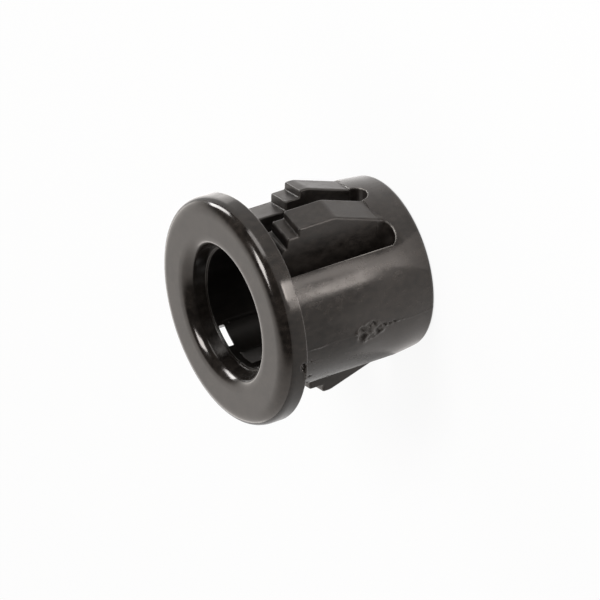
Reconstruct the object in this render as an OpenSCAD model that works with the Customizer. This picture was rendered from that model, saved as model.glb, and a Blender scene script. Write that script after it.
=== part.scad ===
// Snap bushing: a one-piece nylon liner that snaps into a round panel hole and guards a cable.
// Z is the axis. The flange's back face is at Z = 0, its front faces +Z and the barrel runs to -Z.
// The two finger windows look along +Y and -Y.

/* [Flange] */
// Outside diameter of the flange, mm
flange_d = 12.0; // [11.2:0.1:16]
// Thickness of the flange, mm
flange_t = 1.4; // [1.2:0.05:2.2]
// Radius round the front rim, mm
rim_round = 0.7; // [0.2:0.05:0.9]
// Depth of the flared mouth, from the flange's front to the step at the bore, mm
mouth_depth = 1.12; // [0.6:0.01:1.2]
// Slope of the flared mouth to the axis, degrees
mouth_angle = 12; // [5:1:25]
// Step from the mouth to the bore, mm
mouth_step = 0.15; // [0.05:0.01:0.25]
// Radius round the lip of the mouth, mm
mouth_round = 0.6; // [0.2:0.05:0.7]

/* [Barrel] */
// Panel hole that the barrel goes into, mm
panel_hole_d = 9.5; // [9.2:0.05:10.2]
// Slack between barrel and hole across the diameter, mm
hole_slack = 0.14; // [0.05:0.01:0.4]
// Bore for the cable, mm
bore_d = 6.35; // [5.6:0.05:6.8]
// Length of the barrel behind the flange, mm
barrel_len = 8.5; // [8.2:0.1:11]
// Slope of the lead-in cone at the barrel's end, degrees
lead_angle = 6.5; // [2:0.5:10]
// Length of the lead-in cone, mm
lead_len = 1.55; // [0.8:0.05:2]
// Radius on the outer edge of the barrel's end, mm
end_round = 0.2; // [0.05:0.05:0.4]
// Radius on the inner edge of the barrel's end, mm
bore_end_round = 0.25; // [0.05:0.05:0.4]

/* [Windows] */
// Gap between a finger and the window's side at the bore, mm
side_gap = 0.13; // [0.08:0.01:0.3]
// Length of the closed ring behind the windows, mm
ring_len = 1.43; // [1.2:0.01:2]
// Depth of the pockets of a window's front end in the flange's back face, mm
window_recess = 0.18; // [0.1:0.01:0.3]
// Distance of a pocket from the middle of its window, mm
pocket_in = 1.12; // [0.8:0.01:1.5]

/* [Fingers] */
// Width of a finger, mm
finger_w = 1.5; // [1.2:0.05:1.55]
// Gap between the two fingers of a window, mm
finger_gap = 1.15; // [0.9:0.05:1.2]
// Lean of a finger's flats to its side of the window, degrees
finger_lean = 11; // [6:1:16]
// Low land under the barrel's radius, mm
low_land_drop = 0.12; // [0.1:0.01:0.3]
// Rise of the first step, mm
first_rise = 0.52; // [0.25:0.01:0.6]
// Rise of the second step, mm
second_rise = 0.41; // [0.25:0.01:0.6]
// Panel gripped by the first step of the thin-panel finger, mm
thin_panel_a = 1.1; // [1:0.05:1.3]
// Panel gripped by the second step of the thin-panel finger, mm
thin_panel_b = 1.8; // [1.5:0.05:2.1]
// Panel gripped by the first step of the thick-panel finger, mm
thick_panel_a = 2.7; // [2.3:0.05:2.9]
// Panel gripped by the second step of the thick-panel finger, mm
thick_panel_b = 3.5; // [3.2:0.05:3.7]
// Distance of the ridge behind the flange, mm
ridge = 3.96; // [3.8:0.01:4.3]
// Slope of the lead-in ramp, degrees
ramp_angle = 19.2; // [17.5:0.1:22]
// Gap from the flange's back face to a finger's tip at the bore, mm
tip_gap = 0.12; // [0.05:0.01:0.3]
// Slope of a finger's tip, degrees
tip_angle = 27.8; // [10:0.1:30]

/* [Hidden] */
$fn = 96;

flange_r = flange_d / 2;
bore_r = bore_d / 2;
barrel_r = (panel_hole_d - hole_slack) / 2;
lead_start = barrel_len - lead_len;
// Lip of the mouth: the corner that the radius takes off, its centre and where it meets the flare
lip = [bore_r + mouth_step + mouth_depth * tan(mouth_angle), flange_t];
lip_reach = mouth_round * tan(45 - mouth_angle / 2);
lip_centre = lip + [lip_reach, -mouth_round];
lip_touch = lip - lip_reach * [sin(mouth_angle), cos(mouth_angle)];
window_end = barrel_len - ring_len;
finger_in = finger_gap / 2;
finger_out = finger_in + finger_w;
// Radial sides of a window, which clear the fingers at the bore
half_angle = asin((finger_out + side_gap) / bore_r);
// Half width of a window at the barrel's surface
window_half = barrel_r * sin(half_angle);
side_slot_r = (window_half - finger_out) / 2;
side_slot_x = (window_half + finger_out) / 2;
root = window_end - side_slot_r;
// Sill between the pockets, half way to the finger tips
sill = tip_gap / 2;
// Distances of the finger flats from the axis
low_land = barrel_r - low_land_drop;
mid_land = low_land + first_rise;
top_land = mid_land + second_rise;
// Foot of a finger, in the middle of the ring
foot_z = window_end + ring_len / 2;
// Length of a cutting shape outside the part
past = 1;

// Body of revolution with the rounded rim, flared mouth, bore and lead-in cone
module turned_body() {
    round_z = -barrel_len + end_round;
    round_x = barrel_r + ((round_z + lead_start) * sin(lead_angle) - end_round) / cos(lead_angle);
    touch = [round_x + end_round * cos(lead_angle), round_z - end_round * sin(lead_angle)];
    rotate_extrude() {
        difference() {
            union() {
                translate([bore_r, 0])
                    square([flange_r - bore_r, flange_t - rim_round]);
                translate([bore_r, 0])
                    square([flange_r - rim_round - bore_r, flange_t]);
                translate([flange_r - rim_round, flange_t - rim_round])
                    circle(r = rim_round);
                translate([bore_r, -lead_start])
                    square([barrel_r - bore_r, lead_start + flange_t / 2]);
                polygon([
                    [bore_r, -lead_start],
                    [barrel_r, -lead_start],
                    touch,
                    [round_x, round_z],
                    [round_x, -barrel_len],
                    [bore_r, -barrel_len]
                ]);
                translate([round_x, round_z])
                    circle(r = end_round);
            }
            polygon([
                [bore_r - past, flange_t - mouth_depth],
                [bore_r + mouth_step, flange_t - mouth_depth],
                lip,
                lip + [0, past],
                [bore_r - past, flange_t + past]
            ]);
            difference() {
                polygon([
                    lip_touch,
                    lip,
                    lip + [0, past],
                    [lip_centre.x, flange_t + past],
                    lip_centre
                ]);
                translate(lip_centre)
                    circle(r = mouth_round);
            }
            difference() {
                translate([bore_r - past, -barrel_len - past])
                    square([bore_end_round + past, bore_end_round + past]);
                translate([bore_r + bore_end_round, -barrel_len + bore_end_round])
                    circle(r = bore_end_round);
            }
        }
    }
}

// Opening of the +Y window, with radial sides: slots with round rear ends and pockets at the flange
module window_void() {
    reach = barrel_r + hole_slack;
    intersection() {
        translate([0, 0, -barrel_len])
            linear_extrude(height = barrel_len + window_recess)
                polygon([
                    [0, 0],
                    [reach * tan(half_angle), reach],
                    [-reach * tan(half_angle), reach]
                ]);
        translate([0, 0, -barrel_len])
            cylinder(r = reach, h = barrel_len + window_recess);
        rotate([90, 0, 0])
            mirror([0, 0, 1])
                linear_extrude(height = reach) {
                    translate([-reach, -root])
                        square([2 * reach, root - sill]);
                    translate([-reach, -root])
                        square([reach - pocket_in, root + window_recess]);
                    translate([pocket_in, -root])
                        square([reach - pocket_in, root + window_recess]);
                    translate([side_slot_x, -root])
                        circle(r = side_slot_r);
                    translate([-side_slot_x, -root])
                        circle(r = side_slot_r);
                    translate([0, -window_end + finger_in])
                        circle(r = finger_in);
                    translate([-finger_in, -window_end + finger_in])
                        square([finger_gap, window_end - finger_in - sill]);
                }
    }
}

// Everything in front of the sloping finger tips
module tip_clearance() {
    wide = top_land + past;
    rotate_extrude()
        polygon([
            [0, flange_t],
            [0, -tip_gap + bore_r * tan(tip_angle)],
            [wide, -tip_gap - (wide - bore_r) * tan(tip_angle)],
            [wide, flange_t]
        ]);
}

// Stepped finger on the +X side of the +Y window, gripping panels of two thicknesses
module finger(panel_a, panel_b) {
    foot = top_land - (foot_z - ridge) * tan(ramp_angle);
    difference() {
        intersection() {
            translate([finger_in, 0, -foot_z])
                cube([finger_w, top_land + past, foot_z + flange_t]);
            rotate([0, 0, -finger_lean])
                rotate([90, 0, 90])
                    translate([0, 0, -finger_out])
                        linear_extrude(height = 2 * finger_out + past)
                            polygon([
                                [0, flange_t],
                                [low_land, flange_t],
                                [low_land, -panel_a],
                                [mid_land, -panel_a],
                                [mid_land, -panel_b],
                                [top_land, -panel_b],
                                [top_land, -ridge],
                                [foot, -foot_z],
                                [0, -foot_z]
                            ]);
        }
        translate([0, 0, -barrel_len])
            cylinder(r = bore_r, h = barrel_len + flange_t);
        tip_clearance();
    }
}

// Two fingers of the +Y window
module finger_pair() {
    finger(thin_panel_a, thin_panel_b);
    mirror([1, 0, 0])
        finger(thick_panel_a, thick_panel_b);
}

module snap_bushing() {
    color([0.06, 0.055, 0.05])
        union() {
            difference() {
                turned_body();
                for (turn = [0, 180])
                    rotate([0, 0, turn])
                        window_void();
            }
            for (turn = [0, 180])
                rotate([0, 0, turn])
                    finger_pair();
        }
}

snap_bushing();
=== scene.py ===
import math

import bpy
import numpy as np
from mathutils import Matrix, Vector


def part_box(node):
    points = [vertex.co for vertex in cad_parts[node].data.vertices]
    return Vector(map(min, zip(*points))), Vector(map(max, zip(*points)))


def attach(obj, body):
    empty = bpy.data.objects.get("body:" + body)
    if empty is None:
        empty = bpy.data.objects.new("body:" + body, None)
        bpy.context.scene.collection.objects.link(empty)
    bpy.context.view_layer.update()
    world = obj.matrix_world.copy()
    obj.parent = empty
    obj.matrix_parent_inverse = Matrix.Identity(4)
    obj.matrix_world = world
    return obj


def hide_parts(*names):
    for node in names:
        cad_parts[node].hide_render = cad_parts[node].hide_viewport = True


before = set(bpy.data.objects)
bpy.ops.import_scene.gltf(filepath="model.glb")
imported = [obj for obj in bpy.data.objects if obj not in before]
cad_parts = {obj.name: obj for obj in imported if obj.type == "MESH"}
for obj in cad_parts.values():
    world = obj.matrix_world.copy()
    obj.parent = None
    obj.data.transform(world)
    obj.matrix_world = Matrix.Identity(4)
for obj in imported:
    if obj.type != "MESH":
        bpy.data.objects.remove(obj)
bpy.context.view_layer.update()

bpy.context.scene.view_settings.view_transform = "Standard"


# The bushing is one moulding in black nylon: flange, barrel, rear ring and four stepped snap
# fingers, shot in a mould of two halves that part along the barrel's sides.
# The mould is polished at the flange and plainly ground at the barrel. Lengths here are in mm.
FLANGE_R = 6.0
FLANGE_T = 1.4
RIM_ROUND = 0.8
RIM_POWER = 2.4
FLANGE_BACK_EDGE = 0.09
FLANGE_FILLET = 0.06
MOUTH_DEPTH = 1.12
MOUTH_ANGLE = math.radians(12)
MOUTH_STEP = 0.15
MOUTH_ROUND = 0.34
DISH_R = 4.2
DISH_BEND = 1.6
BORE_R = 3.175
BORE_END_ROUND = 0.25
BARREL_R = 4.68
BARREL_LEN = 8.5
LEAD_START = 6.95
LEAD_ANGLE = math.radians(6.5)
LEAD_EASE = 0.08
END_ROUND = 0.2
SHARP_EDGE = 0.012

# Fingers: their sides, lands, steps and tips, and the panels that the steps grip
FINGER_IN = 0.575
FINGER_OUT = 2.075
FLANK_SPREAD = 0.18
FINGER_LEAN = math.radians(11)
FINGER_EDGE = 0.11
STEP_FILLET = 0.06
LOW_LAND = 4.56
MID_LAND = 5.08
TOP_LAND = 5.49
THIN_PANELS = (1.1, 1.8)
THICK_PANELS = (2.7, 3.5)
RIDGE = 3.96
RIDGE_EASE = 0.05
RAMP_ANGLE = math.radians(19.2)
TIP_GAP = 0.12
TIP_ANGLE = math.radians(27.8)

# Windows, which look along +Y and -Y: their radial sides and round rear ends, and the sill,
# pockets and webs at the flange
HALF_ANGLE = math.radians(43.98)
WINDOW_END = 7.07
WINDOW_RECESS = 0.18
WINDOW_REACH = 4.82
WINDOW_EDGE = 0.06
EASED_FROM = 0.3
EASED_OVER = 0.4
POCKET_IN = 1.12
SILL = 0.125
WEB_START = (2.144, 2.342)
WEB_ANGLE = math.radians(54)
WEB_DEPTH = 0.4
SIDE_SLOT_R = (BARREL_R * math.sin(HALF_ANGLE) - FINGER_OUT) / 2
SIDE_SLOT_X = FINGER_OUT + SIDE_SLOT_R
ROOT = WINDOW_END - SIDE_SLOT_R
FOOT = (WINDOW_END + BARREL_LEN) / 2

# Marks of the mould: a thin bead where its halves meet, higher near the flange and knotted near
# the ring, and the scar of the gate on it. A swell of the bead has its middle, reach and height.
MARKS_FROM = 4.0
MARKS_OVER = 0.2
PARTING_AZIMUTH = math.radians(-3.4)
BEAD_HEIGHT = 0.007
BEAD_WIDTH = 0.05
BEAD_CLEAR = 0.3
BEAD_SWELL = (-1.45, 0.45, 0.024)
BEAD_KNOTS = (-5.9, 0.7, 0.012)
GATE_Z = -4.5
GATE_HALF_LENGTH = 0.75
GATE_HALF_WIDTH = 0.55
GATE_ROUGHNESS = 0.024
GATE_RIM = 0.014
GATE_RIM_WIDTH = 0.14

# Pits and pips on the barrel and at the flange's back edge: azimuth in degrees, height, reach, and
# how far it stands out
SPOT_DEPTH = 0.6
BARREL_SPOTS = (
    (-1.3, -4.05, 0.14, -0.11), (-7.4, -4.02, 0.13, -0.11), (-5.6, -4.20, 0.13, -0.09),
    (1.0, -4.71, 0.13, -0.10), (-0.2, -4.50, 0.08, -0.06), (-5.4, -5.02, 0.11, -0.10),
    (-2.2, -5.37, 0.08, -0.07), (-2.7, -5.67, 0.06, -0.05), (-2.4, -5.95, 0.07, -0.06),
    (-4.1, -4.56, 0.14, 0.09), (-5.9, -5.26, 0.12, 0.07), (-2.4, -3.74, 0.11, 0.05),
    (-10.4, -4.26, 0.11, 0.05), (0.5, -4.93, 0.09, 0.05), (-30.0, -1.36, 0.11, -0.07),
    (-41.5, -1.58, 0.09, 0.05), (-43.5, -2.85, 0.08, 0.04), (-13.4, -1.12, 0.06, -0.06))
FLANGE_SPOTS = (
    (-0.9, 0.22, 0.12, -0.20), (-2.9, 0.27, 0.08, -0.10), (-5.0, 0.10, 0.10, 0.06),
    (-7.0, 0.08, 0.10, 0.06), (-9.0, 0.06, 0.10, 0.05))


def rounded_edge(a, b, radius):
    """Two faces that meet at an outer edge of this radius."""
    outside = np.hypot(np.maximum(radius + a, 0), np.maximum(radius + b, 0))
    return np.minimum(-radius, np.maximum(a, b)) + outside


def filled_corner(a, b, radius):
    """Two solids that meet in a corner with a fillet of this radius."""
    inside = np.hypot(np.maximum(radius - a, 0), np.maximum(radius - b, 0))
    return np.maximum(radius, np.minimum(a, b)) - inside


def blunt_edge(a, b, width):
    """Two faces that meet at a blunt angle, eased over this width."""
    ease = np.maximum(width - np.abs(a - b), 0)
    return np.maximum(a, b) + ease * ease / (4 * width)


def fade_in(value, start, run):
    """0 up to the start, rising to 1 over the run after it."""
    return np.clip((value - start) / run, 0, 1)


def fade_out(value, end, run):
    """1, falling to 0 over the run before the end."""
    return np.clip((end - value) / run, 0, 1)


def turned_body(r, z):
    """Flange, barrel, flared mouth and bore, as a depth under the skin, negative inside."""
    over_rim, over_face = r - FLANGE_R, z - FLANGE_T
    corner = (np.maximum(RIM_ROUND + over_rim, 0) ** RIM_POWER
              + np.maximum(RIM_ROUND + over_face, 0) ** RIM_POWER)
    flange = np.minimum(-RIM_ROUND, np.maximum(over_rim, over_face)) + corner ** (1 / RIM_POWER)
    flange = rounded_edge(flange, -z, FLANGE_BACK_EDGE)
    lead = (r - BARREL_R) * math.cos(LEAD_ANGLE) - (z + LEAD_START) * math.sin(LEAD_ANGLE)
    barrel = blunt_edge(r - BARREL_R, lead, LEAD_EASE)
    barrel = rounded_edge(barrel, -BARREL_LEN - z, END_ROUND)
    barrel = np.maximum(barrel, z - FLANGE_T / 2)
    body = filled_corner(flange, barrel, FLANGE_FILLET)
    over_step = z - FLANGE_T + MOUTH_DEPTH
    flare = (BORE_R + MOUTH_STEP - r) * math.cos(MOUTH_ANGLE) + over_step * math.sin(MOUTH_ANGLE)
    front = z - FLANGE_T + np.square(np.maximum(DISH_R - r, 0)) / (2 * DISH_BEND)
    mouth = np.minimum(rounded_edge(flare, front, MOUTH_ROUND), over_step)
    mouth = rounded_edge(BORE_R - r, mouth, SHARP_EDGE)
    tail = rounded_edge(BORE_R - r, -BARREL_LEN - z, BORE_END_ROUND)
    return np.maximum(body, np.maximum(mouth, tail))


def in_window(x, y):
    """Place across the nearer window, and out of it."""
    return np.where(y >= 0, x, -x), np.abs(y)


def window_opening(across, out, r, z):
    """A window: a wide slot each side of the fingers and one between them, with round rear ends.

    At the flange a sill stands before the middle, with a pocket and a thin web on each side."""
    side = np.abs(across)
    sides = side * math.cos(HALF_ANGLE) - out * math.sin(HALF_ANGLE)
    side_slot = np.hypot(side - SIDE_SLOT_X, np.minimum(z + ROOT, 0)) - SIDE_SLOT_R
    middle_end = WINDOW_END - FINGER_IN
    middle_slot = np.hypot(across, np.minimum(z + middle_end, 0)) - FINGER_IN
    slots = np.minimum(-ROOT - z, np.minimum(side_slot, middle_slot))
    ends = np.maximum(z - WINDOW_RECESS, r - WINDOW_REACH)
    opening = np.maximum(np.maximum(sides, slots), ends)
    sill = np.maximum(side - POCKET_IN, -SILL - z)
    beyond = ((side - WEB_START[0]) * math.cos(WEB_ANGLE)
              - (out - WEB_START[1]) * math.sin(WEB_ANGLE))
    web = np.maximum(-beyond, -WEB_DEPTH - z)
    return np.maximum(opening, -np.minimum(sill, web))


def snap_finger(across, out, r, z):
    """A finger with its low land, two steps, top land and ramp; a window's two differ in steps."""
    side = np.abs(across)
    height = side * math.sin(FINGER_LEAN) + out * math.cos(FINGER_LEAN)
    first = np.where(across > 0, THIN_PANELS[0], THICK_PANELS[0])
    second = np.where(across > 0, THIN_PANELS[1], THICK_PANELS[1])
    steps = height - LOW_LAND
    for land, panel in ((MID_LAND, first), (TOP_LAND, second)):
        step = rounded_edge(height - land, z + panel, FINGER_EDGE)
        steps = filled_corner(steps, step, STEP_FILLET)
    ramp = (height - TOP_LAND) * math.cos(RAMP_ANGLE) - (z + RIDGE) * math.sin(RAMP_ANGLE)
    steps = blunt_edge(steps, ramp, RIDGE_EASE)
    sunk = np.maximum(BARREL_R - r, 0) / (BARREL_R - BORE_R)
    outer_flank = side - FINGER_OUT - FLANK_SPREAD * sunk * sunk
    flanks = np.maximum(FINGER_IN - side, outer_flank)
    finger = rounded_edge(steps, flanks, FINGER_EDGE)
    tip = (z + TIP_GAP) * math.cos(TIP_ANGLE) + (r - BORE_R) * math.sin(TIP_ANGLE)
    finger = rounded_edge(finger, tip, FINGER_EDGE)
    finger = rounded_edge(finger, BORE_R - r, SHARP_EDGE)
    return np.maximum(finger, -FOOT - z)


def from_parting(x, y, r):
    """Way round the barrel from the parting line."""
    return (np.arctan2(y, x) - PARTING_AZIMUTH) * r


def gate_oval(around, z):
    """1 at the edge of the gate's scar, less inside it."""
    return np.hypot((z - GATE_Z) / GATE_HALF_LENGTH, around / GATE_HALF_WIDTH)


def mould_marks(x, y, z, r):
    """How far the skin stands out at the parting line, the gate and the flange's back edge."""
    around = from_parting(x, y, r)
    outside = fade_in(r, MARKS_FROM, MARKS_OVER)
    wander = 0.03 * np.sin(1.9 * z + 0.6) + 0.02 * np.sin(4.7 * z)
    swell_z, swell_reach, swell_height = BEAD_SWELL
    bead = BEAD_HEIGHT + swell_height * np.exp(-np.square((z - swell_z) / swell_reach))
    knots_z, knots_reach, knots_height = BEAD_KNOTS
    knots = knots_height * np.exp(-np.square((z - knots_z) / knots_reach))
    bead = bead + knots * (1 + np.sin(19 * z))
    gate = gate_oval(around, z)
    bead = bead * fade_in(gate, 0.9, 0.2) * fade_out(z, -BEAD_CLEAR, BEAD_CLEAR)
    marks = outside * bead * np.exp(-np.square((around - wander) / BEAD_WIDTH))
    torn = np.sin(8 * z + 2.1 * np.sin(5 * around)) * np.sin(10 * around + 1.7 * np.sin(6 * z))
    torn = torn + 0.5 * np.sin(17 * z + 1) * np.sin(19 * around + 2)
    marks = marks + outside * GATE_ROUGHNESS * torn * fade_out(gate, 1.1, 0.3)
    marks = marks + outside * GATE_RIM * np.exp(-np.square((gate - 1.0) / GATE_RIM_WIDTH))
    azimuth = np.arctan2(y, x)
    for radius, spots in ((BARREL_R, BARREL_SPOTS), (FLANGE_R, FLANGE_SPOTS)):
        near = outside * (np.abs(r - radius) < SPOT_DEPTH)
        for degrees, height, reach, stands_out in spots:
            along = (azimuth - math.radians(degrees)) * radius
            spot = (np.square(z - height) + np.square(along)) / (reach * reach)
            marks = marks + near * stands_out * np.exp(-spot)
    return marks


def moulding(x, y, z):
    """Depth under the moulding's skin, in mm, negative inside."""
    r = np.hypot(x, y)
    across, out = in_window(x, y)
    body = turned_body(r, z)
    body = body - mould_marks(x, y, z, r)
    eased = fade_in(r - BORE_R, EASED_FROM, EASED_OVER)
    edge = SHARP_EDGE + (WINDOW_EDGE - SHARP_EDGE) * eased
    body = rounded_edge(body, -window_opening(across, out, r, z), edge)
    return filled_corner(body, snap_finger(across, out, r, z), STEP_FILLET)


def skin_slope(points, reach=0.004):
    """Unit normals of the skin, and its depth, at points near it."""
    slopes = np.empty_like(points)
    for axis in range(3):
        shift = np.zeros(3)
        shift[axis] = reach
        slopes[:, axis] = moulding(*(points + shift).T) - moulding(*(points - shift).T)
    slopes /= np.maximum(np.linalg.norm(slopes, axis=1), 1e-9)[:, None]
    return slopes, moulding(*points.T)


# The skin is drawn as a net on a grid round the moulding. The grid is a part of a step off centre,
# so that no flat face lies on it, and is reckoned in slabs.
NET_STEP = (0.036, 0.06, 0.06)
NET_SHIFT = 0.37
NET_LOW = (-6.2, -6.2, -8.7)
NET_HIGH = (6.2, 6.2, 1.6)
NET_SLAB = 12
TRIANGLES = 170_000
LARGEST_MOVE = 0.04
SETTLE_ROUNDS = 2


def skin_net(step):
    """Points and quads of the skin, from a grid with these steps along X, Y and Z."""
    step = np.array(step)
    low = np.array(NET_LOW) + NET_SHIFT * step
    count = np.ceil((np.array(NET_HIGH) - low) / step).astype(int) + 1
    lines = [low[axis] + step[axis] * np.arange(count[axis]) for axis in range(3)]
    depth = np.empty(count, np.float32)
    for start in range(0, count[2], NET_SLAB):
        slab = lines[2][start:start + NET_SLAB]
        slab_points = np.meshgrid(lines[0], lines[1], slab, indexing="ij")
        depth[:, :, start:start + NET_SLAB] = moulding(*slab_points)
    inside = depth < 0
    corners = [(i, j, k) for i in (0, 1) for j in (0, 1) for k in (0, 1)]
    nx, ny, nz = count - 1
    filled = sum(inside[i:i + nx, j:j + ny, k:k + nz].astype(np.int8) for i, j, k in corners)
    cells = np.argwhere((filled > 0) & (filled < 8))
    number = np.full((nx, ny, nz), -1, np.int32)
    number[tuple(cells.T)] = np.arange(len(cells))
    total = np.zeros((len(cells), 3))
    crossings = np.zeros(len(cells))
    for a in corners:
        for axis in range(3):
            if a[axis]:
                continue
            b = tuple(v + (n == axis) for n, v in enumerate(a))
            at_a = depth[tuple((cells + a).T)]
            at_b = depth[tuple((cells + b).T)]
            crossed = (at_a < 0) != (at_b < 0)
            share = at_a[crossed] / (at_a[crossed] - at_b[crossed])
            place = (cells[crossed] + a).astype(float)
            place[:, axis] += share
            total[crossed] += place
            crossings[crossed] += 1
    points = low + step * total / crossings[:, None]
    quads = []
    for axis in range(3):
        u, v = (axis + 1) % 3, (axis + 2) % 3
        first = [slice(None)] * 3
        second = [slice(None)] * 3
        first[axis], second[axis] = slice(None, -1), slice(1, None)
        starts, ends = inside[tuple(first)], inside[tuple(second)]
        at = np.argwhere(starts != ends)
        leaving = starts[tuple(at.T)]
        ring = []
        for du, dv in ((-1, -1), (0, -1), (0, 0), (-1, 0)):
            cell = at.copy()
            cell[:, u] += du
            cell[:, v] += dv
            ring.append(number[tuple(cell.T)])
        ring = np.array(ring).T
        ring[~leaving] = ring[~leaving][:, ::-1]
        quads.append(ring)
    return points, np.concatenate(quads)


def settle(points):
    """Points moved onto the skin."""
    for _ in range(SETTLE_ROUNDS):
        slopes, depths = skin_slope(points)
        points = points - slopes * np.clip(depths, -LARGEST_MOVE, LARGEST_MOVE)[:, None]
    return points


net_points, net_quads = skin_net(NET_STEP)
net_points = settle(net_points)
net = bpy.data.meshes.new("snap_bushing_net")
net.vertices.add(len(net_points))
net.vertices.foreach_set("co", net_points.astype(np.float32).ravel())
net.loops.add(net_quads.size)
net.loops.foreach_set("vertex_index", net_quads.astype(np.int32).ravel())
net.polygons.add(len(net_quads))
net.polygons.foreach_set("loop_start", np.arange(0, net_quads.size, 4, dtype=np.int32))
net.update(calc_edges=True)
net.validate()
bushing = bpy.data.objects.new("snap_bushing_moulding", net)
bpy.context.scene.collection.objects.link(bushing)
thin_out = bushing.modifiers.new("thin_out", "DECIMATE")
thin_out.ratio = TRIANGLES / (2 * len(net_quads))
bpy.context.view_layer.update()
thinned = bushing.evaluated_get(bpy.context.evaluated_depsgraph_get())
skin = bpy.data.meshes.new_from_object(thinned)
bushing.modifiers.clear()
bushing.data = skin
skin.name = "snap_bushing_moulding"
bpy.data.meshes.remove(net)
skin_points = np.empty(3 * len(skin.vertices), np.float32)
skin.vertices.foreach_get("co", skin_points)
skin_points = settle(skin_points.reshape(-1, 3).astype(float))
skin_points[:, 2] = np.clip(skin_points[:, 2], -BARREL_LEN, FLANGE_T)
skin_normals, _ = skin_slope(skin_points)


def curving(points, reach=0.05):
    """Sum of the skin's curvatures, 1/mm, positive at outer edges."""
    ring = -6 * moulding(*points.T)
    for axis in range(3):
        for way in (-reach, reach):
            shift = np.zeros(3)
            shift[axis] = way
            ring = ring + moulding(*(points + shift).T)
    return ring / (reach * reach)


def skin_mask(name, values):
    """Where a finish, painted shade or a painted highlight lies on the skin, from 0 to 1."""
    mask = skin.attributes.new(name, "FLOAT", "POINT")
    mask.data.foreach_set("value", np.clip(values, 0, 1).astype(np.float32))


# Where the finishes lie: rubbed edges, the polished flange, the matt faces of fingers and windows,
# the thin flash on the window's edges, partly a painted highlight, the bore with its flare,
# darkened with painted shade, and the gate's scar
skin_x, skin_y, skin_z = skin_points.T
skin_r = np.hypot(skin_x, skin_y)
skin_across, skin_out = in_window(skin_x, skin_y)
off_body = np.abs(turned_body(skin_r, skin_z))
off_finger = np.abs(snap_finger(skin_across, skin_out, skin_r, skin_z))
off_window = np.abs(window_opening(skin_across, skin_out, skin_r, skin_z))
skin_mask("edge", fade_in(curving(skin_points), 3, 6))
skin_mask("polish", fade_in(skin_z, 0.02, 0.06))
skin_mask("matt", np.maximum(fade_in(off_body, 0, 0.06), fade_out(off_finger, 0.05, 0.03)))
at_window_edge = (skin_r > 4.5) * (skin_z < -0.3) * fade_in(off_finger, 0.1, 0.1)
# Pale flash along the windows' outer edges: partly whitened flash, partly a painted highlight
# standing in for light caught on those edges
skin_mask("flash_and_highlight", (0.055 - np.hypot(off_body, off_window)) / 0.03 * at_window_edge)
# The bore and the wall of its flared mouth carry painted shade: their colour is darkened, and the
# same mask sets their roughness
flare_wall_shade = 0.4 * fade_out(skin_z, 1.05, 0.15) * (skin_r < 3.6) * (skin_z > 0.2)
skin_mask("bore", np.maximum(flare_wall_shade, fade_out(skin_r, BORE_R + 0.1, 0.05)))
skin_gate = gate_oval(from_parting(skin_x, skin_y, skin_r), skin_z)
skin_mask("gate", fade_out(skin_gate, 1.15, 0.2) * (skin_r > 4.2))
skin.vertices.foreach_set("co", (skin_points / 1000).astype(np.float32).ravel())
skin.shade_smooth()
skin.normals_split_custom_set_from_vertices(skin_normals.tolist())
skin.update()

# Colours and finishes of the nylon. A bump of height 1 stands out by the bump unit, in metres.
NYLON_DARK = (0.0038, 0.0030, 0.0025, 1)
NYLON_LIGHT = (0.0155, 0.0126, 0.0107, 1)
NYLON_SHINE = (1.0, 0.95, 0.91, 1)
NYLON_IOR = 1.43
RUBBED_EDGE = (0.05, 0.046, 0.043, 1)
TORN_GATE = (0.045, 0.042, 0.04, 1)
# Pale flash on the window edges, partly a painted highlight
PALE_FLASH_AND_HIGHLIGHT = (0.24, 0.225, 0.21, 1)
# Painted shade: the colour that the bore and its flared mouth are darkened towards
BORE_PAINTED_SHADE = (0.0012, 0.0010, 0.0009, 1)
BORE_SHADE_SHARE = 0.8
SATIN = (0.135, 0.19)
GLOSS = (0.13, 0.18)
SCUFFS_DULL = 0.08
MOTTLE_DULL = 0.06
GATE_DULL = 0.05
MATT_DULL = 0.16
BORE_ROUGHNESS = 0.3
BUMP_UNIT = 0.0000012
nylon = bpy.data.materials.new("black_nylon")
nylon.use_nodes = True
nodes, links = nylon.node_tree.nodes, nylon.node_tree.links
shader = nodes["Principled BSDF"]
shader.inputs["IOR"].default_value = NYLON_IOR
shader.inputs["Specular Tint"].default_value = NYLON_SHINE


def feed(socket, value):
    """A value set on a socket, or a link into it."""
    if isinstance(value, bpy.types.NodeSocket):
        links.new(value, socket)
    else:
        socket.default_value = value


def mask_of(name):
    """One of the skin's masks."""
    node = nodes.new("ShaderNodeAttribute")
    node.attribute_name = name
    return node.outputs["Fac"]


def reckon(operation, a, b=0.0, c=0.0):
    """A sum or product of numbers on the surface."""
    node = nodes.new("ShaderNodeMath")
    node.operation = operation
    for socket, value in zip(node.inputs, (a, b, c)):
        feed(socket, value)
    return node.outputs[0]


def speckle(scale, detail, stretch=(1, 1, 1)):
    """Noise in the part's own millimetres."""
    place = nodes.new("ShaderNodeTexCoord")
    size = nodes.new("ShaderNodeMapping")
    size.inputs["Scale"].default_value = [1000 * v for v in stretch]
    links.new(place.outputs["Object"], size.inputs["Vector"])
    node = nodes.new("ShaderNodeTexNoise")
    node.inputs["Scale"].default_value = scale
    node.inputs["Detail"].default_value = detail
    links.new(size.outputs[0], node.inputs["Vector"])
    return node.outputs["Fac"]


def spread(value, low, high, to_low=0.0, to_high=1.0, curve="LINEAR"):
    """A value between low and high, moved to lie between two others."""
    node = nodes.new("ShaderNodeMapRange")
    node.interpolation_type = curve
    for socket, number in zip(list(node.inputs)[1:5], (low, high, to_low, to_high)):
        feed(socket, number)
    feed(node.inputs["Value"], value)
    return node.outputs[0]


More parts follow.
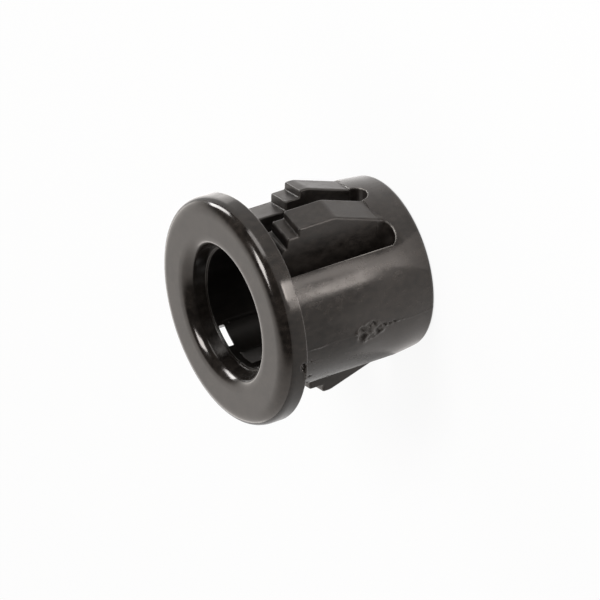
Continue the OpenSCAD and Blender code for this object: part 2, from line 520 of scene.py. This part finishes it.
def between(kind, share, first, second):
    """A colour or a number, by its share of the second."""
    node = nodes.new("ShaderNodeMix")
    node.data_type = kind
    for name, value in (("Factor", share), ("A", first), ("B", second)):
        feed(node.inputs[name], value)
    return node.outputs["Result"]


polish, matt, bore, edge, gate, flash_and_highlight = (
    mask_of(name) for name in ("polish", "matt", "bore", "edge", "gate", "flash_and_highlight"))
clouds = speckle(0.9, 3, (1, 1, 0.45))
grain = speckle(22, 2)
grit = speckle(9, 2)
scuffs = speckle(2.0, 4, (1, 1, 0.3))
waves = speckle(1.1, 1, (1, 1, 0.5))
mottle = speckle(3.5, 3, (1, 1, 0.7))
blotches = reckon("MULTIPLY_ADD", mottle, 0.6, reckon("MULTIPLY", clouds, 0.4))
colour = between("RGBA", spread(blotches, 0.36, 0.64), NYLON_DARK, NYLON_LIGHT)
# Rubbed edges, the torn gate, pale flash that is partly a painted highlight, and painted shade in
# the bore
for mask, share, shade in (
        (edge, spread(scuffs, 0.4, 0.7, 0.1, 0.6), RUBBED_EDGE),
        (gate, spread(grain, 0.4, 0.6, 0.0, 0.5), TORN_GATE),
        (flash_and_highlight, spread(scuffs, 0.35, 0.6, 0.3, 1.0), PALE_FLASH_AND_HIGHLIGHT),
        (bore, BORE_SHADE_SHARE, BORE_PAINTED_SHADE)):
    colour = between("RGBA", reckon("MULTIPLY", mask, share), colour, shade)
feed(shader.inputs["Base Color"], colour)
satin = spread(clouds, 0.3, 0.7, *SATIN)
for duller in (
        spread(scuffs, 0.40, 0.70, 0.0, SCUFFS_DULL), reckon("MULTIPLY", gate, GATE_DULL),
        reckon("MULTIPLY", matt, MATT_DULL), spread(mottle, 0.40, 0.65, 0.0, MOTTLE_DULL)):
    satin = reckon("ADD", satin, duller)
finish = between("FLOAT", polish, satin, spread(clouds, 0.3, 0.7, *GLOSS))
feed(shader.inputs["Roughness"], between("FLOAT", bore, finish, BORE_ROUGHNESS))
ground_faces = reckon("MULTIPLY", spread(matt, 0, 1, 0.9, 2.6), spread(polish, 0, 1, 1.0, 0.1))
height = reckon("MULTIPLY", grit, ground_faces)
for pattern, on_barrel, on_flange in ((grain, 0.9, 0.3), (scuffs, 1.3, 0.1), (waves, 9.0, 0.0)):
    raised = reckon("MULTIPLY", pattern, spread(polish, 0, 1, on_barrel, on_flange))
    height = reckon("ADD", height, raised)
height = reckon("MULTIPLY", height, spread(bore, 0, 1, 1.0, 0.0))
bump = nodes.new("ShaderNodeBump")
bump.inputs["Strength"].default_value = 1.0
bump.inputs["Distance"].default_value = BUMP_UNIT
feed(bump.inputs["Height"], height)
feed(shader.inputs["Normal"], bump.outputs["Normal"])
bushing.data.materials.append(nylon)
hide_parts("snap_bushing")
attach(bushing, "root")


# The table is a plain white board that the bushing stands on by its barrel's end.
# It reads white in the picture and in reflections, and keeps a soft shadow. Lengths are in metres.
TABLE_HALF = 1.5
TABLE_PAINT = (0.55, 0.55, 0.55, 1)
MIRRORED_SHARE = 0.24
WHITE_SHARE = 0.92
WHITE_FROM = 0.0041
WHITE_FULL = 0.0045
table_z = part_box("snap_bushing")[0].z
table_corners = [(x * TABLE_HALF, y * TABLE_HALF, table_z)
                 for x, y in ((-1, -1), (1, -1), (1, 1), (-1, 1))]
table_mesh = bpy.data.meshes.new("white_table")
table_mesh.from_pydata(table_corners, [], [(0, 1, 2, 3)])
table = bpy.data.objects.new("white_table", table_mesh)
bpy.context.scene.collection.objects.link(table)


def axis_distance(height):
    """Distance from the point of the bushing's axis at this height."""
    place = nodes.new("ShaderNodeNewGeometry")
    node = nodes.new("ShaderNodeVectorMath")
    node.operation = "DISTANCE"
    node.inputs[1].default_value = (0, 0, height)
    links.new(place.outputs["Position"], node.inputs[0])
    return node.outputs["Value"]


board = bpy.data.materials.new("white_board")
board.use_nodes = True
nodes, links = board.node_tree.nodes, board.node_tree.links
nodes.clear()
paint = nodes.new("ShaderNodeBsdfDiffuse")
paint.inputs["Color"].default_value = TABLE_PAINT
white = nodes.new("ShaderNodeEmission")
white.inputs["Strength"].default_value = 1.0
rays = nodes.new("ShaderNodeLightPath")
mirrored = reckon("ADD", rays.outputs["Is Glossy Ray"], rays.outputs["Is Transmission Ray"])
seen = reckon("MULTIPLY_ADD", mirrored, MIRRORED_SHARE, rays.outputs["Is Camera Ray"])
clear = spread(axis_distance(table_z), WHITE_FROM, WHITE_FULL, 0.0, WHITE_SHARE, "SMOOTHSTEP")
white_share = reckon("MULTIPLY", seen, clear)
white_share.node.use_clamp = True
painted = nodes.new("ShaderNodeMixShader")
links.new(white_share, painted.inputs["Fac"])
links.new(paint.outputs[0], painted.inputs[1])
links.new(white.outputs[0], painted.inputs[2])
surface = nodes.new("ShaderNodeOutputMaterial")
links.new(painted.outputs[0], surface.inputs["Surface"])
table_mesh.materials.append(board)


# The camera looks at the bushing from in front of and above its flange, through a long lens, and
# is turned on its side, so that the bushing lies in the picture as in the photograph.
# Lengths are in mm.
VIEW_AZIMUTH = 38
VIEW_TILT = math.radians(63)
VIEW_ROLL = math.radians(18.06)
FIELD = 30.33
DISTANCE = 420.0
SENSOR = 36
AIM_ALONG = 2.7455
AIM_UNDER = 0.55
AIM_BEHIND = 1.6
azimuth = math.radians(VIEW_AZIMUTH)
side_on = Vector((math.cos(azimuth), math.sin(azimuth), 0))
level = Vector((-math.sin(azimuth), math.cos(azimuth), 0))
axis_up = Vector((0, 0, 1))
to_camera = side_on * math.sin(VIEW_TILT) + axis_up * math.cos(VIEW_TILT)
along_axis = side_on * math.cos(VIEW_TILT) - axis_up * math.sin(VIEW_TILT)
picture_right = along_axis * math.cos(VIEW_ROLL) - level * math.sin(VIEW_ROLL)
picture_up = along_axis * math.sin(VIEW_ROLL) + level * math.cos(VIEW_ROLL)
aim = along_axis * AIM_ALONG - level * AIM_UNDER - to_camera * AIM_BEHIND
lens = bpy.data.cameras.new("long_lens")
lens.sensor_width = SENSOR
lens.lens = SENSOR * DISTANCE / FIELD
lens.clip_start, lens.clip_end = 0.01, 5
camera = bpy.data.objects.new("camera", lens)
turn = Matrix((picture_right, picture_up, to_camera)).transposed()
camera.matrix_world = Matrix.Translation((aim + to_camera * DISTANCE) / 1000) @ turn.to_4x4()
bpy.context.scene.collection.objects.link(camera)
bpy.context.scene.camera = camera


# Studio light: a white backdrop behind the bushing, brightest low down, a tall soft box over its
# flange, one behind it and a small one at its edge, and light panels lying on the table round it.
# Lengths are in mm.
BOX_DISTANCE = 300
EDGE_BOX_DISTANCE = 60
PANEL_Z = -8.4
PANEL_COLOUR = (1.0, 0.955, 0.93)


def soft_box(name, place, target, width, height, radiance, roll=0.0):
    """A rectangle of light at a place, facing a target."""
    lamp = bpy.data.lights.new(name, "AREA")
    lamp.shape = "RECTANGLE"
    lamp.size, lamp.size_y = width / 1000, height / 1000
    lamp.energy = radiance * math.pi * lamp.size * lamp.size_y
    box = bpy.data.objects.new(name, lamp)
    facing = (place - target).normalized()
    box.matrix_world = (Matrix.Translation(place / 1000)
                        @ facing.to_track_quat("Z", "Y").to_matrix().to_4x4()
                        @ Matrix.Rotation(math.radians(roll), 4, "Z"))
    box.visible_camera = False
    bpy.context.scene.collection.objects.link(box)
    return box


def around_view(side, up, top):
    """A direction towards the camera's side, up in the picture and along the axis."""
    return (side_on * side + level * up + axis_up * top).normalized()


middle = Vector((0, 0, -2))
for name, way, distance, width, height, radiance in (
        ("key_box", around_view(0.34, 0.37, 0.865), BOX_DISTANCE, 96, 145, 21),
        ("back_box", around_view(-0.35, 0.88, 0.23), BOX_DISTANCE, 150, 72, 17),
        ("edge_box", around_view(0.62, 0.78, -0.03), EDGE_BOX_DISTANCE, 30, 32, 6)):
    soft_box(name, middle + way * distance, middle, width, height, radiance)
for name, out, across, length, width, turn_by, radiance in (
        ("low_panel", 17, -2.9, 12, 2.6, -15, 9.5),
        ("low_panel_above", 17, 1.65, 12, 2.4, 8, 4.2),
        ("near_panel", 7.75, -0.1, 6.5, 2.2, 0, 3.2),
        ("far_panel", 27, 0.5, 8, 7, 0, 16),
        ("back_pad", -26, 13, 40, 24, 0, 1.1),
        ("light_pad", 4.5, -5.75, 13, 11.5, 0, 0.6),
        ("upper_pad", -3, 9, 18, 18, 0, 0.66)):
    place = side_on * out + level * across + axis_up * PANEL_Z
    roll = -VIEW_AZIMUTH - turn_by
    panel = soft_box(name, place, place + axis_up, length, width, radiance, roll)
    panel.data.color = PANEL_COLOUR

# The near panel fades towards the bushing's foot
near_panel = bpy.data.lights["near_panel"]
near_panel.use_nodes = True
nodes, links = near_panel.node_tree.nodes, near_panel.node_tree.links
fading = spread(axis_distance(PANEL_Z / 1000), 0.0046, 0.0085, 0.15, 1.0, "SMOOTHSTEP")
feed(nodes["Emission"].inputs["Strength"], fading)

# The backdrop, from its dim side to its bright one, with a glow on the horizon straight behind
BACKDROP_COLOUR = (1.0, 0.955, 0.915, 1)
BACKDROP_DIM = 0.11
BACKDROP_BRIGHT = 1.55
HORIZON_GLOW = 1.35
world = bpy.data.worlds.new("studio")
bpy.context.scene.world = world
world.use_nodes = True
nodes, links = world.node_tree.nodes, world.node_tree.links
nodes.clear()
outlook = nodes.new("ShaderNodeTexCoord").outputs["Generated"]


def towards(direction):
    """How squarely the outlook faces a direction."""
    node = nodes.new("ShaderNodeVectorMath")
    node.operation = "DOT_PRODUCT"
    node.inputs[1].default_value = direction
    links.new(outlook, node.inputs[0])
    return node.outputs["Value"]


horizon = spread(towards(axis_up), 0.03, 0.22, HORIZON_GLOW, 0.0, "SMOOTHSTEP")
straight = spread(towards(around_view(-1, 0, 0)), 0.78, 0.88, curve="SMOOTHSTEP")
brightest = reckon("MULTIPLY_ADD", horizon, straight, BACKDROP_BRIGHT)
bright_side = towards(around_view(-0.828, -0.526, -0.194))
backdrop = spread(bright_side, -0.08, 0.40, BACKDROP_DIM, brightest, "SMOOTHSTEP")
glow = nodes.new("ShaderNodeBackground")
glow.inputs["Color"].default_value = BACKDROP_COLOUR
feed(glow.inputs["Strength"], backdrop)
sky = nodes.new("ShaderNodeOutputWorld")
links.new(glow.outputs[0], sky.inputs["Surface"])
